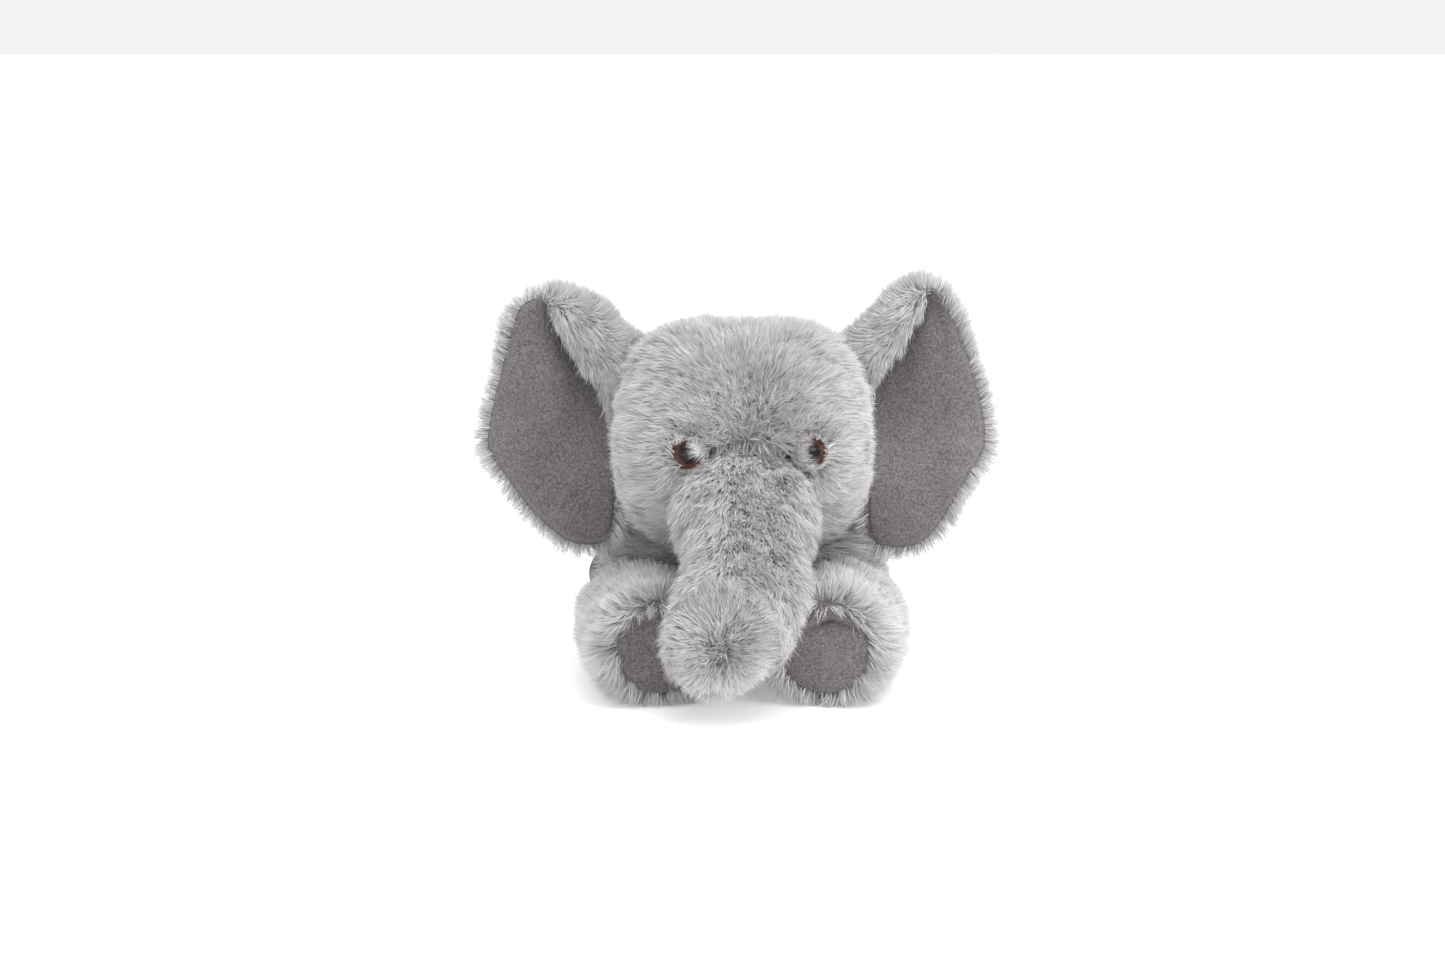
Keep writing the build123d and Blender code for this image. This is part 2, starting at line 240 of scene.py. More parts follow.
def backing_material():
    """Knitted backing and dense foot of the pile, darker than the strands' tips as painted shade
    deep in the pile.
    """
    material, tree, shader = new_material("fur_backing", 0.95)
    tone = color_ramp(tree, noise(tree, 900.0), [
        (0.3, (0.400, 0.390, 0.396)), (0.7, (0.540, 0.530, 0.536))])
    tree.links.new(tone, shader.inputs["Base Color"])
    add_bump(tree, shader, noise(tree, 1500.0), 0.0006)
    return material


def shaded_ear_backing_material():
    """Backing and seam allowance round an ear, dark as painted shade where the pile meets the
    lining.
    """
    material, tree, shader = new_material("ear_backing_painted_shade", 0.95)
    tone = color_ramp(tree, noise(tree, 900.0), [
        (0.3, (0.120, 0.112, 0.116)), (0.7, (0.210, 0.200, 0.205))])
    tree.links.new(tone, shader.inputs["Base Color"])
    return material


def suede_material():
    """Short-napped cloth: fine speckle, soft clouds where its short pile lies another way, and
    darker by a share kept at each vertex, which on the ear linings is painted shade.
    """
    material, tree, shader = new_material("suede", 0.92, 0.25)
    shader.inputs["Sheen Roughness"].default_value = 0.6
    speckle = color_ramp(tree, noise(tree, 1050.0, 4.0), [
        (0.34, (0.098, 0.085, 0.095)), (0.66, (0.262, 0.235, 0.252))])
    clouds = color_ramp(tree, noise(tree, 26.0), [(0.32, 0.78), (0.68, 1.0)])
    # Darker by the share kept at each vertex, which on the ear linings is painted shade.
    nap_and_shade_attribute = node(tree, "ShaderNodeAttribute", attribute_name=NAP_AND_SHADE)
    nap_and_shade_tone = color_ramp(tree, nap_and_shade_attribute.outputs["Fac"], [(0.0, 1.0), (1.0, 0.30)])
    cloth = multiply(tree, multiply(tree, speckle, clouds), nap_and_shade_tone)
    tree.links.new(cloth, shader.inputs["Base Color"])
    add_bump(tree, shader, noise(tree, 1600.0, 4.0), 0.0004)
    return material


def eye_axis_distance(tree, side):
    """Distance in metres from the line through an eye's middle."""
    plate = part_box(f"eye_{side}_backing")
    middle = (plate[0] + plate[1]) / 2
    place = node(tree, "ShaderNodeTexCoord").outputs["Object"]
    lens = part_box(f"eye_{side}_lens")
    front = (lens[0] + lens[1]) / 2
    apart = node(tree, "ShaderNodeVectorMath", operation="SUBTRACT")
    tree.links.new(place, apart.inputs[0])
    apart.inputs[1].default_value = front
    across = node(tree, "ShaderNodeVectorMath", operation="CROSS_PRODUCT")
    tree.links.new(apart.outputs["Vector"], across.inputs[0])
    across.inputs[1].default_value = (front - middle).normalized()
    length = node(tree, "ShaderNodeVectorMath", operation="LENGTH")
    tree.links.new(across.outputs["Vector"], length.inputs[0])
    return length.outputs["Value"]


def iris_material(side):
    """Black pupil in a red-brown ring, dark again at the rim."""
    material, tree, shader = new_material(f"iris_{side}", 0.5)
    shader.inputs["Specular IOR Level"].default_value = 0.1
    far = node(tree, "ShaderNodeMath", operation="MULTIPLY")
    tree.links.new(eye_axis_distance(tree, side), far.inputs[0])
    far.inputs[1].default_value = 1 / (8 * MM)
    ring = color_ramp(tree, far.outputs["Value"], [
        (0.0, (0.004, 0.004, 0.004)), (0.46, (0.004, 0.004, 0.004)),
        (0.53, (0.20, 0.050, 0.036)), (0.80, (0.32, 0.090, 0.066)), (0.93, (0.02, 0.01, 0.01))])
    streaks = color_ramp(tree, noise(tree, 700.0), [(0.3, 0.65), (0.7, 1.0)])
    tree.links.new(multiply(tree, ring, streaks), shader.inputs["Base Color"])
    return material


def clear_material():
    """Clear moulded plastic."""
    material, _, shader = new_material("eye_clear", 0.03)
    shader.inputs["Base Color"].default_value = (1, 1, 1, 1)
    shader.inputs["Transmission Weight"].default_value = 1.0
    shader.inputs["IOR"].default_value = 1.28
    return material


def plain_material(name, color, roughness, grain):
    """Plastic or fibre with a fine grain."""
    material, tree, shader = new_material(name, roughness)
    dark = tuple(0.8 * part for part in color)
    tone = color_ramp(tree, noise(tree, grain), [(0.3, dark), (0.7, color)])
    tree.links.new(tone, shader.inputs["Base Color"])
    add_bump(tree, shader, noise(tree, grain), 0.0002)
    return material


def ribbon_material():
    """Woven ribbon: grey-green ground between two red bands, with fine ribs."""
    material, tree, shader = new_material("label_ribbon", 0.8)
    place = node(tree, "ShaderNodeTexCoord").outputs["Object"]
    apart = node(tree, "ShaderNodeSeparateXYZ")
    tree.links.new(place, apart.inputs["Vector"])
    height = node(tree, "ShaderNodeMapRange")
    tree.links.new(apart.outputs["Z"], height.inputs["Value"])
    height.inputs["From Min"].default_value = LABEL_LOW * MM
    height.inputs["From Max"].default_value = LABEL_HIGH * MM
    red = (0.170, 0.075, 0.068)
    ground = (0.150, 0.150, 0.132)
    bands = color_ramp(tree, height.outputs["Result"], [
        (0.0, red), (0.22, ground), (0.42, (0.24, 0.21, 0.19)), (0.60, ground), (0.78, red)])
    ribs = node(tree, "ShaderNodeTexWave")
    ribs.inputs["Scale"].default_value = 700.0
    ribs.bands_direction = "Z"
    tree.links.new(place, ribs.inputs["Vector"])
    shade = color_ramp(tree, ribs.outputs["Fac"], [(0.0, 0.7), (1.0, 1.0)])
    tree.links.new(multiply(tree, bands, shade), shader.inputs["Base Color"])
    add_bump(tree, shader, ribs.outputs["Fac"], 0.0002)
    return material


PILE = pile_material()
BACKING = backing_material()
SHADED_EAR_BACKING = shaded_ear_backing_material()
SUEDE = suede_material()


# ---- Skins: the cloth bags that hold the filling

def eye_places():
    """Middle of each eye's dome and the way it faces."""
    places = []
    for side in SIDES:
        lens, plate = (sum((np.array(corner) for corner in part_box(f"eye_{side}_{part}")))
                       / 2 / MM for part in ("lens", "backing"))
        places.append((lens, unit(lens - plate)))
    return places


def bag_of(name, names, voxel, shrink):
    """One closed skin over CAD nodes, pulled in to the backing of the fur cloth."""
    copies = []
    for member in names:
        copy = bpy.data.objects.new(name, nodes[member].data.copy())
        scene.collection.objects.link(copy)
        copies.append(copy)
    bpy.ops.object.select_all(action="DESELECT")
    for copy in copies:
        copy.select_set(True)
    bpy.context.view_layer.objects.active = copies[0]
    if len(copies) > 1:
        bpy.ops.object.join()
    bag = bpy.context.view_layer.objects.active
    bag.name = name
    bag.data.remesh_voxel_size = voxel * MM
    bpy.ops.object.voxel_remesh()
    set_coords(bag.data, coords(bag.data) - shrink * vertex_normals(bag.data))
    even_out(bag, 3)
    bag.data.materials.clear()
    bag.data.materials.append(BACKING)
    return bag


def even_out(obj, rounds):
    smoother = obj.modifiers.new("Even", "SMOOTH")
    smoother.factor = 0.5
    smoother.iterations = rounds
    apply_modifiers(obj)


def apply_modifiers(obj):
    bpy.ops.object.select_all(action="DESELECT")
    obj.select_set(True)
    bpy.context.view_layer.objects.active = obj
    for modifier in list(obj.modifiers):
        bpy.ops.object.modifier_apply(modifier=modifier.name)


def sink_behind_eyes(bag):
    """Draws the head's skin in behind each eye's plate, where the washer pulls it."""
    points = coords(bag.data)
    for middle, way in eye_places():
        from_middle = points - middle
        height = from_middle @ way
        across = np.linalg.norm(from_middle - height[:, None] * way, axis=1)
        wanted = -SINK_DEPTH + 5.5 * ramp(across, SINK_INNER, SINK_OUTER)
        sunk = (across < SINK_OUTER) & (np.abs(height) < 14)
        push = np.where(sunk, np.minimum(wanted - height, 0), 0)
        points = points + push[:, None] * way
    set_coords(bag.data, points)


def flare_root(bag):
    """Widens the trunk's root where its cloth runs out into the cheeks."""
    points = coords(bag.data)
    along = (points - TRUNK_ROOT) @ TRUNK_WAY
    share = ramp(along, 34, 4) * ramp(points[:, 2], 112, 96)
    points[:, 0] += (points[:, 0] - TRUNK_ROOT[0]) * 0.24 * share
    set_coords(bag.data, points)


def fill_bags(bags, pressure, reach):
    """Cloth simulation: each bag swells under its filling, no further than reach in mm."""
    rest = {bag.name: coords(bag.data) for bag in bags}
    for bag in bags:
        cloth = bag.modifiers.new("Cloth", "CLOTH")
        cloth.settings.quality = 5
        cloth.settings.mass = 0.3
        cloth.settings.tension_stiffness = 12
        cloth.settings.compression_stiffness = 12
        cloth.settings.shear_stiffness = 4
        cloth.settings.bending_stiffness = 0.6
        cloth.settings.use_pressure = True
        cloth.settings.uniform_pressure_force = pressure
        cloth.settings.effector_weights.gravity = 0.0
        cloth.collision_settings.use_collision = False
        cloth.point_cache.frame_start = 1
        cloth.point_cache.frame_end = FILL_FRAMES
    scene.frame_start = 1
    scene.frame_end = FILL_FRAMES
    for step in range(1, FILL_FRAMES + 1):
        scene.frame_set(step)
    graph = bpy.context.evaluated_depsgraph_get()
    for bag in bags:
        start = rest[bag.name]
        move = coords(bag.evaluated_get(graph).data) - start
        length = np.linalg.norm(move, axis=1, keepdims=True)
        move *= np.minimum(1, reach / np.maximum(length, 1e-9))
        bag.modifiers.clear()
        set_coords(bag.data, start + move)
    scene.frame_set(1)
    for bag in bags:
        even_out(bag, 1)
        bag.modifiers.new("Subdivision", "SUBSURF").levels = 1
        apply_modifiers(bag)
        bag.data.shade_smooth()


def cup_depth(x):
    """Depth (y) of the cupped ear's front face."""
    out = np.abs(x) - EAR_HINGE_X - EAR_CUP_MIDDLE
    return np.sqrt(EAR_CUP ** 2 - out ** 2) - EAR_CUP


def smooth_outline(outline, count):
    """Closed curve through (x, z) points, evenly spaced."""
    ring = np.array(outline, float)
    size = len(ring)
    dense = []
    for index in range(size):
        before, start, end, after = (ring[(index + step) % size] for step in (-1, 0, 1, 2))
        for share in np.linspace(0, 1, 16, endpoint=False):
            dense.append(0.5 * (2 * start + (end - before) * share
                                + (2 * before - 5 * start + 4 * end - after) * share ** 2
                                + (3 * start - before - 3 * end + after) * share ** 3))
    dense = np.array(dense)
    steps = np.linalg.norm(np.roll(dense, -1, 0) - dense, axis=1)
    along = np.concatenate([[0], np.cumsum(steps)])
    wanted = np.linspace(0, along[-1], count, endpoint=False)
    closed = np.vstack([dense, dense[:1]])
    return np.stack([np.interp(wanted, along, closed[:, axis]) for axis in (0, 1)], 1)


def disc_grid(outline, middle, rings):
    """Points from a middle out to an outline in rings, their share of the way out, and faces."""
    count = len(outline)
    shares = np.linspace(0, 1, rings + 1)[1:] ** 0.85
    flat = np.vstack([[middle]] + [middle + share * (outline - middle) for share in shares])
    out = np.concatenate([[0.0]] + [np.full(count, share) for share in shares])
    faces = [(0, 1 + step, 1 + (step + 1) % count) for step in range(count)]
    for ring in range(rings - 1):
        low = 1 + ring * count
        for step in range(count):
            after = (step + 1) % count
            faces.append((low + step, low + count + step, low + count + after, low + after))
    return flat, out, faces


def beyond(outline, middle, flat):
    """How far flat places lie past an outline, seen from its middle."""
    around = flat - middle
    ring = outline - middle
    angles = np.arctan2(ring[:, 1], ring[:, 0])
    order = np.argsort(angles)
    radius = np.interp(np.arctan2(around[:, 1], around[:, 0]), angles[order],
                       np.hypot(*ring.T)[order], period=2 * math.pi)
    return np.hypot(*around.T) - radius


def ear_middle(side):
    """Middle of an ear, as (x, z)."""
    return np.array([EAR_MIDDLE_X * SIDES[side], EAR_MIDDLE_Z])


def ear_dip(flat):
    """How far an ear sinks behind the fold along its upper inner side."""
    return 5.0 * ramp(EAR_HINGE_X + 40 - np.abs(flat[:, 0]), 0, 26) * ramp(flat[:, 1], 84, 140)


def ear_bag(side):
    """Cupped two-layer ear, rounded at its rim."""
    outline = smooth_outline(EAR_CLOTH[side], 96)
    middle = ear_middle(side)
    flat, out, faces = disc_grid(outline, middle, 16)
    count = len(flat)
    round_off = np.sqrt(np.clip(1 - out ** 8, 0, 1))
    fold = np.clip(beyond(smooth_outline(EAR_LINING[side], 240), middle, flat), 0, None)
    roll = ramp(fold, 0, 7) * ramp(EAR_HINGE_X + 44 - np.abs(flat[:, 0]), 0, 16)
    sheet_middle = 2.6 + cup_depth(flat[:, 0]) + ear_dip(flat)
    front = sheet_middle - (2.0 + 9.0 * roll) * round_off
    back = sheet_middle + 2.2 * round_off
    points = np.vstack([np.stack([flat[:, 0], front, flat[:, 1]], 1),
                        np.stack([flat[:, 0], back, flat[:, 1]], 1)])
    rim = count - len(outline)
    twin = {rim + step + count: rim + step for step in range(len(outline))}
    if side == "right":
        faces = [tuple(reversed(face)) for face in faces]
    both = list(faces)
    for face in faces:
        both.append(tuple(twin.get(corner + count, corner + count) for corner in reversed(face)))
    used = sorted({corner for face in both for corner in face})
    place = {corner: index for index, corner in enumerate(used)}
    both = [tuple(place[corner] for corner in face) for face in both]
    return make_mesh(f"ear_{side}_cloth", points[used], both, SHADED_EAR_BACKING)


def soft_members(body):
    """Fur, suede and filling nodes that a body's skin stands for."""
    apart = ("eye_", "label", "pellet", "tail_cord")
    return [name for name in members[body] if not name.startswith(apart)]


BAGGED = ["head", "trunk", "torso"] + [f"{pair}_leg_{side}" for pair in LEGS for side in SIDES]
skins = {}
for body in BAGGED:
    skins[body] = bag_of(f"{body}_skin", soft_members(body), 4.5, 3.0)
skins["tail"] = bag_of("tail_skin", ["tail_tuft"], 1.6, 1.5)
for side in SIDES:
    skins[f"ear_{side}"] = ear_bag(side)
fill_bags([skins[body] for body in BAGGED], 4.0, 1.5)
fill_bags([skins[f"ear_{side}"] for side in SIDES], 2.0, 1.0)
sink_behind_eyes(skins["head"])
flare_root(skins["trunk"])
for body, skin in skins.items():
    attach(skin, body)
    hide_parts(*(["tail_tuft"] if body == "tail" else soft_members(body)))
trees = {body: tree_of(skin) for body, skin in skins.items()}


# ---- Pile

def scatter(skin, per_mm2, seed):
    """Even random points on a skin, with their normals."""
    mesh = skin.data
    mesh.calc_loop_triangles()
    corners = np.empty(len(mesh.loop_triangles) * 3, np.int32)
    mesh.loop_triangles.foreach_get("vertices", corners)
    corners = corners.reshape(-1, 3)
    points = coords(mesh)
    normals = vertex_normals(mesh)
    a, b, c = (points[corners[:, index]] for index in range(3))
    areas = np.linalg.norm(np.cross(b - a, c - a), axis=1) / 2
    total = areas.sum()
    count = int(total * per_mm2 / THIN)
    rng = np.random.default_rng(seed)
    wanted = (np.arange(count) + rng.random(count)) * total / count
    picked = np.searchsorted(np.cumsum(areas), wanted).clip(0, len(areas) - 1)
    u, v = rng.random((2, count, 1))
    over = u + v > 1
    u, v = np.where(over, 1 - u, u), np.where(over, 1 - v, v)
    roots = a[picked] * (1 - u - v) + b[picked] * u + c[picked] * v
    parts = [normals[corners[picked, index]] for index in range(3)]
    return roots, unit(parts[0] * (1 - u - v) + parts[1] * u + parts[2] * v)


def buried(roots, body, deeper):
    """Which roots lie deeper than that many mm inside another body's skin."""
    hidden = np.zeros(len(roots), bool)
    for other, tree in trees.items():
        if other == body:
            continue
        box = coords(skins[other].data)
        near = ((roots > box.min(0)) & (roots < box.max(0))).all(1)
        for index in np.nonzero(near & ~hidden)[0]:
            spot, normal, _, far = tree.find_nearest(Vector(roots[index]))
            hidden[index] = far > deeper and (Vector(roots[index]) - spot).dot(normal) < 0
    return hidden


CURVE = np.array([0.0, 0.55, 1.0])
WIDTHS = np.array([1.0, 0.85])
STRIP = np.array([[0, 1, 3], [0, 3, 2], [2, 3, 4]])
PER_CLUMP = 8
CLUMPS_PER_PIECE = 8000


EYES = eye_places()
EYE_ROUND = 8.6         # just outside the dome
EYE_HEIGHT = 3.4        # of the dome's top above its middle


def rest_on_eyes(points):
    """Lifts points that would run through an eye's dome on to it."""
    for middle, way in EYES:
        from_middle = points - middle
        height = from_middle @ way
        across = np.linalg.norm(from_middle - height[:, None] * way, axis=1)
        near = (across < EYE_ROUND) & (np.abs(height) < 12)
        dome = EYE_HEIGHT - 4.2 * (across / EYE_ROUND) ** 2
        lift = np.where(near, np.maximum(dome + 0.2 - height, 0), 0)
        points = points + lift[:, None] * way
    return points


def strands(roots, normals, combed, lean, length, width, tone, restless, seed):
    """Corner points and map places of tapered strips that grow in clumps."""
    rng = np.random.default_rng(seed)
    count = len(roots)
    combed = unit(combed - (combed * normals).sum(1, keepdims=True) * normals)
    aside = np.cross(normals, combed)
    swirl = np.radians(12 * waves(roots, 34, seed + 1) + 14 * waves(roots, 9, seed + 2)
                       + rng.normal(0, 1, count) * (13 + 60 * restless))[:, None]
    combed, aside = (np.cos(swirl) * combed + np.sin(swirl) * aside,
                     np.cos(swirl) * aside - np.sin(swirl) * combed)
    lean = np.radians(lean + 8 * waves(roots, 15, seed + 3) + rng.normal(0, 7, count))[:, None]
    first = normals * np.cos(0.5 * lean) + combed * np.sin(0.5 * lean)
    last = normals * np.cos(1.3 * lean) + combed * np.sin(1.3 * lean)
    length = length * (1 + 0.10 * waves(roots, 18, seed + 4) + rng.normal(0, 0.08, count))

    def many(values):
        return np.repeat(values, PER_CLUMP, 0)

    total = count * PER_CLUMP
    wild = rng.random(total) < 0.16
    apart = rng.normal(0, 0.9, (total, 2))
    start = many(roots) + apart[:, :1] * many(combed) + apart[:, 1:] * many(aside)
    stray = rng.normal(0, 1, (total, 3)) * np.where(wild, 0.30, 0.10)[:, None]
    own_first = unit(many(first) + 0.5 * stray)
    own_last = unit(many(last) + stray)
    own_length = many(length) * rng.uniform(0.72, 1.08, total)
    pull = np.where(wild, 0.0, rng.uniform(0.0, 0.4, total))[:, None]
    line = []
    for step in CURVE:
        own = start + own_length[:, None] * (
            (step - step ** 2 / 2) * own_first + step ** 2 / 2 * own_last)
        clump = many(roots) + many(length)[:, None] * (
            (step - step ** 2 / 2) * many(first) + step ** 2 / 2 * many(last))
        line.append(own + pull * step ** 2 * (clump - own))
    line = [rest_on_eyes(points) for points in line]
    way = unit(line[-1] - line[0])
    flat_side = unit(np.cross(way, many(normals)))
    roll = rng.uniform(-1.35, 1.35, total)[:, None]
    flat_side = np.cos(roll) * flat_side + np.sin(roll) * np.cross(flat_side, way)
    half = width / 2 * rng.uniform(0.8, 1.25, total)[:, None] * np.where(wild, 0.7, 1.0)[:, None]
    corners = np.empty((total, 5, 3))
    for step in range(2):
        corners[:, 2 * step] = line[step] - flat_side * half * WIDTHS[step]
        corners[:, 2 * step + 1] = line[step] + flat_side * half * WIDTHS[step]
    corners[:, 4] = line[2]
    floor = 0.3 + 0.5 * rng.random((total, 1))
    corners[:, :, 2] = np.maximum(corners[:, :, 2], floor)
    shade = np.clip(many(tone) + rng.normal(0, 0.10, total), 0.03, 0.97)
    places = np.empty((total, 5, 2))
    places[:, 0:4:2, 0] = shade[:, None] - 0.008
    places[:, 1:4:2, 0] = shade[:, None] + 0.008
    places[:, 4, 0] = shade
    places[:, :, 1] = 0.02 + 0.96 * CURVE[[0, 0, 1, 1, 2]]
    return corners, places


def strip_piece(name, corners, places):
    """Mesh object of strips."""
    count = len(corners)
    faces = (STRIP[None] + 5 * np.arange(count)[:, None, None]).reshape(-1)
    mesh = bpy.data.meshes.new(name)
    mesh.vertices.add(5 * count)
    mesh.vertices.foreach_set("co", (corners * MM).astype(np.float32).ravel())
    mesh.loops.add(len(faces))
    mesh.loops.foreach_set("vertex_index", faces.astype(np.int32))
    mesh.polygons.add(len(faces) // 3)
    mesh.polygons.foreach_set("loop_start", np.arange(0, len(faces), 3, dtype=np.int32))
    mesh.update(calc_edges=True)
    layer = mesh.uv_layers.new(name=PILE_MAP)
    layer.uv.foreach_set("vector", places.reshape(-1, 2)[faces].astype(np.float32).ravel())
    mesh.shade_smooth()
    mesh.materials.append(PILE)
    obj = bpy.data.objects.new(name, mesh)
    scene.collection.objects.link(obj)
    return obj


def grow(body, per_mm2, length, width, comb, lean, seed, keep=None, shade=None, restless=None):
    """Pile over a body's skin, in pieces of a size that the library takes."""
    roots, normals = scatter(skins[body], per_mm2, seed)
    kept = ~buried(roots, body, 7.0)
    if keep is not None:
        kept &= keep(roots, normals)
    roots, normals = roots[kept], normals[kept]
    order = np.argsort(roots[:, 0])
    roots, normals = roots[order], normals[order]
    tone = 0.5 + 0.08 * waves(roots, 11, seed + 5) + 0.06 * waves(roots, 5, seed + 6)
    # The body's function adds painted shade, and on the trunk a lighter tone overall, to each
    # strand's tone.
    if shade is not None:
        tone = tone + shade(roots)
    corners, places = strands(roots, normals, comb(roots, normals), lean(roots, normals),
                              length(roots, normals), width, tone,
                              restless(roots, normals) if restless else 0.0, seed)
    parts = math.ceil(len(roots) / CLUMPS_PER_PIECE)
    for part, (some, spots) in enumerate(zip(np.array_split(corners, parts),
                                             np.array_split(places, parts))):
        piece = strip_piece(f"{body}_pile_{part + 1}", some, spots)
        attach(piece, body)


def row(x, y, z):
    """Vectors from three parts, each one number or many."""
    return np.stack(np.broadcast_arrays(x, y, z), -1).astype(float)


# Head: the pile lies out from a parting across the bridge, and back over the crown
def head_comb(p, n):
    x = p[:, 0] - 2
    rise = p[:, 2] - PARTING_Z
    back = ramp(p[:, 1], -30, 10)
    out = unit(row(x, -0.2 * np.abs(x), np.where(rise > 0, 0.55, 0.45) * rise))
    for side, eye in EYE_X.items():
        away = row(p[:, 0] - eye, 0.0, p[:, 2] - EYE_Z)
        near = np.exp(-((np.linalg.norm(away, axis=1) - 7) / 6) ** 2)
        over = np.clip(unit(away) @ unit(np.array([-SIDES[side], 0, -0.5])), 0, 1)
        share = (near * (1 - ramp(over, 0.3, 0.75)))[:, None]
        cover = 0.8 * (near * ramp(over, 0.55, 0.9))[:, None]
        out = out * (1 - share) + unit(away) * share
        out = out * (1 - cover) - unit(away) * cover
    return out * (1 - back)[:, None] + row(0.2 * np.sign(x), 1.0, -0.35) * back[:, None]


def head_lean(p, n):
    front = 1 - ramp(p[:, 1], -45, -25)
    brow = np.exp(-((p[:, 0] - 2) / 20) ** 2 - ((p[:, 2] - 135) / 20) ** 2)
    parting = np.exp(-((p[:, 0] - 2) / 22) ** 2 - ((p[:, 2] - PARTING_Z) / 6) ** 2)
    crown = ramp(p[:, 2], 138, 158)
    return 58 - front * (28 * brow + 10 * parting) - 20 * crown * (1 - brow)


def head_restless(p, n):
    front = 1 - ramp(p[:, 1], -45, -25)
    return front * np.exp(-((p[:, 0] - 2) / 17) ** 2 - ((p[:, 2] - 128) / 17) ** 2)


def head_keep(p, n):
    clear = np.ones(len(p), bool)
    for x in EYE_X.values():
        clear &= (np.hypot(p[:, 0] - x, p[:, 2] - EYE_Z) > EYE_CLEARING) | (p[:, 1] > -20)
    return clear


# Painted shade on the head's pile: darker on the brow and in the parting, where the pile stands up
# or parts, and under the chin.
def head_painted_shade(p):
    front = 1 - ramp(p[:, 1], -45, -25)
    brow = np.exp(-((p[:, 0] - 2) / 20) ** 2 - ((p[:, 2] - 137) / 18) ** 2)
    parting = np.exp(-((p[:, 0] - 2) / 20) ** 2 - ((p[:, 2] - 117) / 5) ** 2)
    chin = ramp(p[:, 2], 84, 64)
    return -front * (0.10 * brow + 0.20 * parting) - 0.22 * chin


def even(value):
    return lambda p, n: np.full(len(p), float(value))


# Trunk: down its length, then out from a whorl at the tip
WHORL_WAY = unit(np.array([0.26, -1.0, -0.12]))


def trunk_cap_share(p, n):
    """How much of the tip's round end a place belongs to."""
    near = 1 - ramp(np.linalg.norm(p - TRUNK_NOSE, axis=1), 22, 30)
    return near * ramp(unit(n) @ WHORL_WAY, 0.05, 0.45)


def trunk_join_share(p):
    """How near to the face a place lies."""
    return ramp((p - TRUNK_ROOT) @ TRUNK_WAY, 8, -16)


def trunk_comb(p, n):
    from_nose = p - TRUNK_NOSE
    radial = unit(from_nose - (from_nose @ WHORL_WAY)[:, None] * WHORL_WAY)
    cap = trunk_cap_share(p, n)[:, None]
    down = unit(TRUNK_WAY + 0.45 * n * [1, 0, 0])
    return down * (1 - cap) + radial * cap


def trunk_lean(p, n):
    from_nose = p - TRUNK_NOSE
    across = np.linalg.norm(from_nose - (from_nose @ WHORL_WAY)[:, None] * WHORL_WAY, axis=1)
    cap = trunk_cap_share(p, n)
    return 60 + 12 * trunk_join_share(p) - cap * (14 + 28 * np.exp(-(across / 9) ** 2))


def trunk_restless(p, n):
    from_nose = p - TRUNK_NOSE
    across = np.linalg.norm(from_nose - (from_nose @ WHORL_WAY)[:, None] * WHORL_WAY, axis=1)
    return trunk_cap_share(p, n) * np.exp(-(across / 8) ** 2)


def trunk_length(p, n):
    near_eye = np.zeros(len(p))
    for eye in EYE_X.values():
        near_eye += np.exp(-(np.hypot(p[:, 0] - eye, p[:, 2] - EYE_Z) / 13) ** 2)
    longest = 10.5 - 2.5 * trunk_join_share(p) - 1.5 * trunk_cap_share(p, n)
    return longest * (1 - 0.30 * np.clip(near_eye, 0, 1))


# A little lighter overall, painted shade in the middle of the whorl at the tip, and darker along
# the middle of the upper front.
def trunk_tone_and_shade(p):
    from_nose = p - TRUNK_NOSE
    across = np.linalg.norm(from_nose - (from_nose @ WHORL_WAY)[:, None] * WHORL_WAY, axis=1)
    tip = np.exp(-(across / 8) ** 2) * (from_nose @ WHORL_WAY > 5)
    ridge = np.exp(-((p[:, 0] - 3) / 12) ** 2) * ramp(p[:, 2], 62, 78)
    return 0.05 - 0.24 * tip - 0.05 * ridge


def leg_frame(pair, side):
    """Pivot and way towards the sole."""
    leg = LEGS[pair]
    turn = math.radians(SIDES[side] * leg["heading"])
    pivot = np.array(leg["pivot"]) * [SIDES[side], 1, 1]
    return pivot, np.array([math.sin(turn), -math.cos(turn), 0.0])


def grow_leg(pair, side, seed, per_mm2):
    pivot, way = leg_frame(pair, side)
    leg = LEGS[pair]

    def comb(p, n):
        rim = ramp((p - pivot) @ way, leg["length"] - 14, leg["length"] - 4)
        return -way * (1 - 0.7 * rim)[:, None] + 0.5 * rim[:, None] * n * [1, 1, 1] + [0, 0, -0.12]

    def keep(p, n):
        along = (p - pivot) @ way
        across = np.linalg.norm(p - pivot - along[:, None] * way, axis=1)
        return (across > leg["sole"] - 1.5) | (along < leg["length"] - 10)

    def length(p, n):
        return 12.5 - 4.0 * ramp(n[:, 2], 0.3, 0.9)

    grow(f"{pair}_leg_{side}", per_mm2, length, 0.36, comb, even(46), seed, keep)


def grow_ear(side, seed):
    """Pile on the back and rim, and on the fold in front between the lining and the head."""
    sign = SIDES[side]
    middle = ear_middle(side)
    cloth = smooth_outline(EAR_CLOTH[side], 240)
    lining = smooth_outline(EAR_LINING[side], 240)

    def reach(outline, p):
        return beyond(outline, middle, p[:, [0, 2]])

    def keep(p, n):
        return (n[:, 1] > -0.2) | (reach(lining, p) > 1.3)

    def comb(p, n):
        out = row(p[:, 0] - middle[0], 0, p[:, 2] - middle[1])
        front = (n[:, 1] < -0.2)[:, None]
        fold = row(-0.8 * sign, 0, -0.5)
        rim = ramp(reach(cloth, p), -7, -1)[:, None]
        back = unit(out) * rim + row(0.5 * sign, 0, -0.9) * (1 - rim)
        return np.where(front, fold * (1 - rim) + unit(out) * rim, back)

    def lean(p, n):
        rim = ramp(reach(cloth, p), -6, -1)
        return 55 - 30 * rim

    grow(f"ear_{side}", 1.15, even(9.8), 0.28, comb, lean, seed, keep)


def torso_comb(p, n):
    return row(0.25 * np.sign(p[:, 0]), 1.0, -0.45)


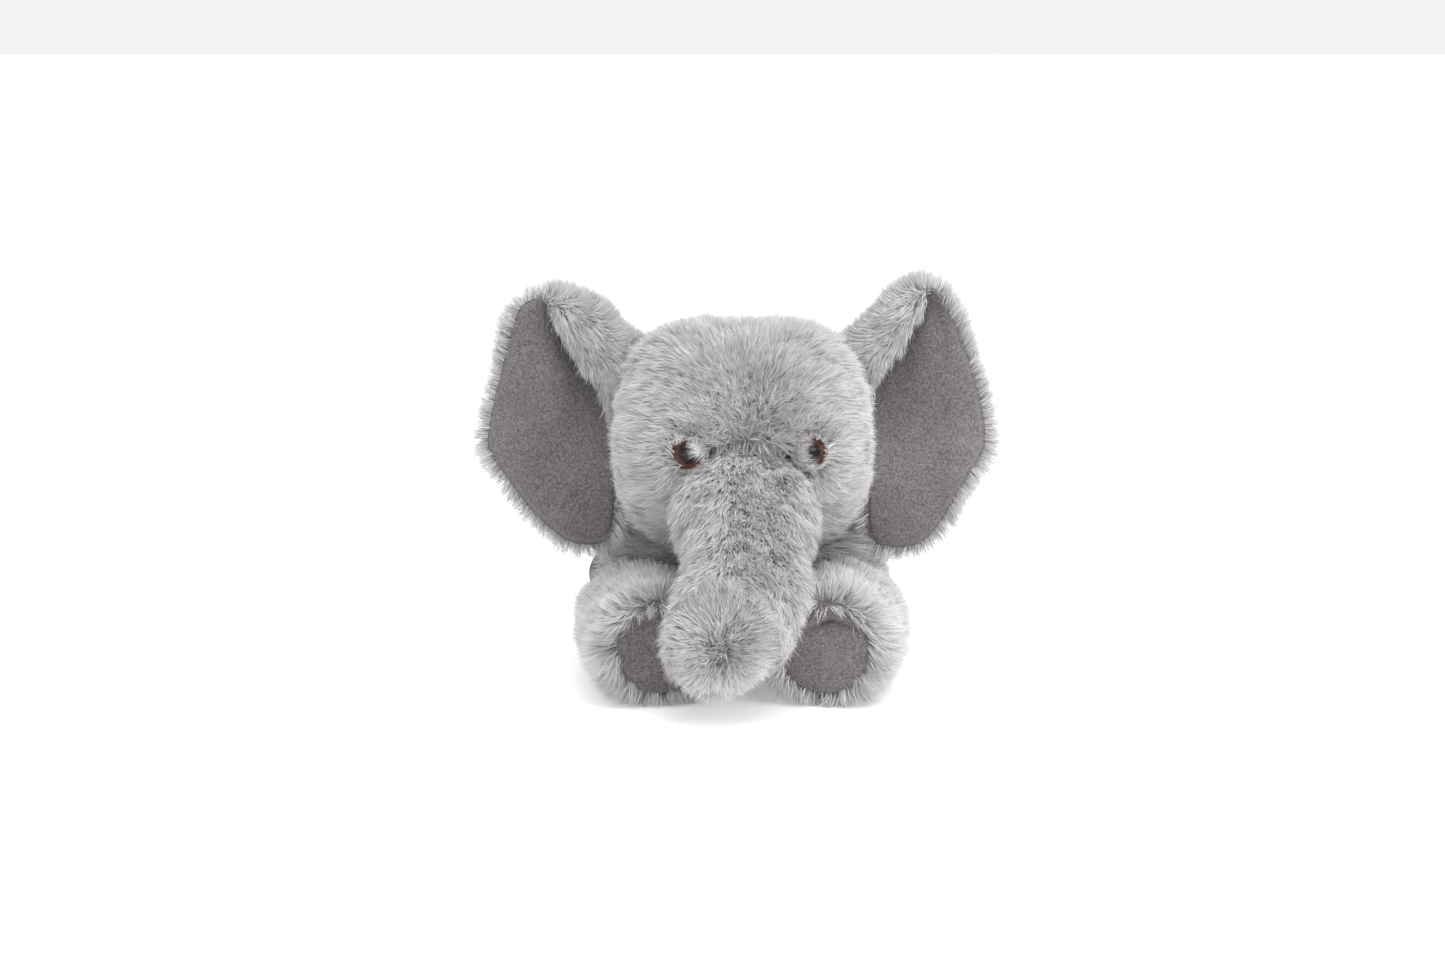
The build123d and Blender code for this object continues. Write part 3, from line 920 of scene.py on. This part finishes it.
def torso_length(p, n):
    return 12 + 4 * ramp(np.abs(n[:, 0]), 0.4, 0.8)


def torso_lean(p, n):
    return 50 - 14 * ramp(np.abs(n[:, 0]), 0.4, 0.8)


# Painted shade: the torso's front is darker, under the head.
def torso_painted_shade(p):
    return -0.30 * ramp(p[:, 1], 14, -12)


def tail_comb(p, n):
    return row(0, 1.0, -0.5)


grow("head", 0.68, even(10.5), 0.34, head_comb, head_lean, 11, head_keep, head_painted_shade,
     head_restless)
grow("trunk", 0.68, trunk_length, 0.34, trunk_comb, trunk_lean, 31, shade=trunk_tone_and_shade,
     restless=trunk_restless)
grow("torso", 0.45, torso_length, 0.38, torso_comb, torso_lean, 51, shade=torso_painted_shade)
for index, side in enumerate(SIDES):
    grow_leg("front", side, 71 + 20 * index, 0.55)
    grow_leg("hind", side, 111 + 20 * index, 0.45)
    grow_ear(side, 151 + 20 * index)
grow("tail", 0.6, even(9), 0.42, tail_comb, even(35), 191)


# ---- Suede linings and soles

def suede_piece(name, body, flat, faces, depth, turned):
    points = np.stack([flat[:, 0], depth, flat[:, 1]], 1)
    if turned:
        faces = [tuple(reversed(face)) for face in faces]
    piece = make_mesh(name, points, faces, SUEDE)
    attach(piece, body)
    return piece


def darken_suede(piece, nap):
    """Share at each vertex by which the suede is darkened; on the ear linings it holds painted
    shade.
    """
    layer = piece.data.attributes.new(NAP_AND_SHADE, "FLOAT", "POINT")
    layer.data.foreach_set("value", np.clip(nap, 0, 1).astype(np.float32))


def make_lining(side, seed):
    """Suede sewn to the ear's front, drawn in at its seam and slightly rippled."""
    body = f"ear_{side}"
    outline = smooth_outline(EAR_LINING[side], 160)
    middle = ear_middle(side)
    flat, out, faces = disc_grid(outline, middle, 36)
    depth = np.empty(len(flat))
    for index, (x, z) in enumerate(flat):
        spot = trees[body].ray_cast(Vector((x, -300, z)), Vector((0, 1, 0)))[0]
        depth[index] = spot.y if spot else cup_depth(x) + 1
    spots = np.stack([flat[:, 0], np.zeros(len(flat)), flat[:, 1]], 1)
    ripple = 0.5 * waves(spots, 30, seed) + 0.18 * waves(spots, 9, seed + 1)
    depth = depth - 1.1 - ripple * (1 - out ** 4) + 1.8 * ramp(out, 0.962, 1.0)
    piece = suede_piece(f"ear_{side}_suede", body, flat, faces, depth, side == "left")
    past_fold = -beyond(smooth_outline(EAR_LINING[side], 240), middle, flat)
    # Painted shade under the ear's fold: the lining is darkest near the fold on its upper inner
    # side.
    inside = ramp(EAR_HINGE_X + 46 - np.abs(flat[:, 0]), 0, 22) * ramp(flat[:, 1], 96, 150)
    nap = 0.10 + 0.85 * np.exp(-(past_fold / 19) ** 2) * inside
    # Painted shade: the left lining is darker all over, because light falls from the right.
    darken_suede(piece, nap + (0.10 if side == "left" else 0.0) + 0.05 * waves(spots, 40, seed + 2))
    x, z = outline.T


def make_sole(pair, side, seed):
    """Suede disc on the leg's end, in the CAD sole's place."""
    pivot, way = leg_frame(pair, side)
    leg = LEGS[pair]
    tree = tree_of(nodes[f"{pair}_leg_{side}_sole"])
    across = np.array([way[1], -way[0], 0.0])
    angles = np.linspace(0, 2 * math.pi, 96, endpoint=False)
    radius = leg["sole"] + 0.3 + 0.5 * np.sin(3 * angles + seed) + 0.3 * np.sin(7 * angles + seed)
    outline = np.stack([np.cos(angles), np.sin(angles)], 1) * radius[:, None]
    flat, out, faces = disc_grid(outline, np.zeros(2), 22)
    points = pivot + flat[:, :1] * across + flat[:, 1:] * [0, 0, 1]
    high = leg["length"] + 60
    for index, point in enumerate(points):
        spot = tree.ray_cast(Vector(point + way * high), Vector(-way))[0]
        far = (np.array(spot) - pivot) @ way if spot else leg["length"] - 1.0
        points[index] = point + way * far
    ripple = 0.35 * waves(points, 16, seed) + 0.12 * waves(points, 6, seed + 1)
    push = ripple * (1 - out ** 4) + 0.3 - 1.8 * ramp(out, 0.93, 1.0)
    if (pair, side) == ("front", "right"):
        crease = flat[:, 1] - 12.5 + 0.35 * np.abs(flat[:, 0] + 3)
        push -= 3.0 * np.exp(-(crease / 1.3) ** 2) * np.exp(-((flat[:, 0] + 3) / 9) ** 2)
        push += 1.2 * np.exp(-((crease - 3.2) / 2.2) ** 2) * np.exp(-((flat[:, 0] + 3) / 9) ** 2)
    points = points + push[:, None] * way
    piece = make_mesh(f"{pair}_leg_{side}_suede", points, faces, SUEDE)
    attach(piece, f"{pair}_leg_{side}")
    darken_suede(piece, 0.18 + 0.08 * waves(points, 25, seed + 2))


for index, side in enumerate(SIDES):
    make_lining(side, 201 + 10 * index)
    make_sole("front", side, 231 + 10 * index)
    make_sole("hind", side, 261 + 10 * index)


# ---- Eyes, label, tail cord and what lies inside

def set_material(name, material):
    obj = nodes[name]
    obj.data.materials.clear()
    obj.data.materials.append(material)
    obj.data.shade_smooth()


CLEAR = clear_material()
WASHER = plain_material("eye_washer", (0.75, 0.75, 0.73), 0.5, 300.0)
for side in SIDES:
    set_material(f"eye_{side}_lens", CLEAR)
    set_material(f"eye_{side}_backing", iris_material(side))
    set_material(f"eye_{side}_washer", WASHER)
set_material("pellet_pouch", plain_material("pouch", (0.70, 0.68, 0.62), 0.9, 800.0))
set_material("pellet_fill", plain_material("pellets", (0.75, 0.75, 0.72), 0.5, 250.0))


def make_label():
    """Folded woven ribbon that stands out of the side seam and bends a little back."""
    low, high = (np.array(corner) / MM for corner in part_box("label"))
    middle_y = (low[1] + high[1]) / 2
    wide = high[2] - low[2]
    down = np.linspace(0, 1, 19)
    along = np.linspace(-1, 1, 41)
    points = []
    for share in along:
        gap = 0.5 * math.sqrt(max(0.0, 1 - (1 - abs(share)) ** 8)) * (1 if share > 0 else -1)
        for level in down:
            bend = 1.6 * (1 - abs(share)) ** 2 * (0.4 + 0.6 * level)
            tip = low[0] - 3.0 + 3.2 * (2 * level - 1) ** 2
            x = tip + (high[0] - tip) * abs(share)
            points.append((x, middle_y + gap + bend, low[2] + wide * level))
    faces = []
    for step in range(len(along) - 1):
        for level in range(len(down) - 1):
            start = step * len(down) + level
            faces.append((start, start + len(down), start + len(down) + 1, start + 1))
    piece = make_mesh("label_woven", np.array(points), faces, ribbon_material())
    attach(piece, "torso")
    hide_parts("label")


def make_tail_cord():
    """Suede cord sewn into a tube, uneven along its length."""
    cord = bag_of("tail_cord_suede", ["tail_cord"], 1.2, 0.0)
    points = coords(cord.data)
    uneven = 0.35 * waves(points, 7, 301)[:, None]
    set_coords(cord.data, points + vertex_normals(cord.data) * uneven)
    cord.data.materials.clear()
    cord.data.materials.append(SUEDE)
    cord.data.shade_smooth()
    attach(cord, "tail")
    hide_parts("tail_cord")


make_label()
make_tail_cord()


# ---- Room, light and camera

def make_room():
    """White paper that runs far past the view, glowing a little as painted light so that shade on
    it stays faint.
    """
    points = np.array([(x, y, 0.0) for y in (-4, 60) for x in (-30, 30)]) / MM
    paper, tree, shader = new_material("paper", 0.9)
    tone = color_ramp(tree, noise(tree, 30.0), [(0.3, 0.93), (0.7, 0.94)])
    tree.links.new(tone, shader.inputs["Base Color"])
    shader.inputs["Specular IOR Level"].default_value = 0.0
    # Painted light: the paper glows, which washes out the shade cast on it.
    shader.inputs["Emission Color"].default_value = (1, 1, 1, 1)
    shader.inputs["Emission Strength"].default_value = 0.32
    make_mesh("room", points, [(0, 1, 3, 2)], paper)


def area_light(name, place, aim, size, power):
    lamp = bpy.data.lights.new(name, "AREA")
    lamp.shape = "DISK"
    lamp.size = size
    lamp.energy = power
    obj = bpy.data.objects.new(name, lamp)
    obj.location = place
    obj.rotation_mode = "QUATERNION"
    obj.rotation_quaternion = (Vector(aim) - Vector(place)).to_track_quat("-Z", "Y")
    scene.collection.objects.link(obj)


def light_room():
    world = bpy.data.worlds.new("studio")
    scene.world = world
    world.use_nodes = True
    sky = world.node_tree.nodes["Background"]
    sky.inputs["Color"].default_value = (1.0, 1.0, 1.0, 1)
    sky.inputs["Strength"].default_value = 0.90
    area_light("softbox_top", (0.3, -0.3, 1.8), (0, 0, 0.08), 1.6, 18)
    area_light("softbox_right", (1.5, -1.7, 1.1), (0, 0, 0.08), 1.2, 17)
    scene.view_settings.view_transform = "Standard"


def make_camera():
    """85 mm lens, a little above level."""
    lens = bpy.data.cameras.new("camera")
    lens.lens = 85
    lens.sensor_width = 36
    lens.clip_start = 0.05
    lens.clip_end = 20
    camera = bpy.data.objects.new("camera", lens)
    aim = Vector((-0.0089, 0.0, 0.089))
    tilt = math.radians(8)
    camera.location = aim + 1.551 * Vector((0, -math.cos(tilt), math.sin(tilt)))
    camera.rotation_euler = (math.pi / 2 - tilt, 0, 0)
    scene.collection.objects.link(camera)
    scene.camera = camera


make_room()
light_room()
make_camera()
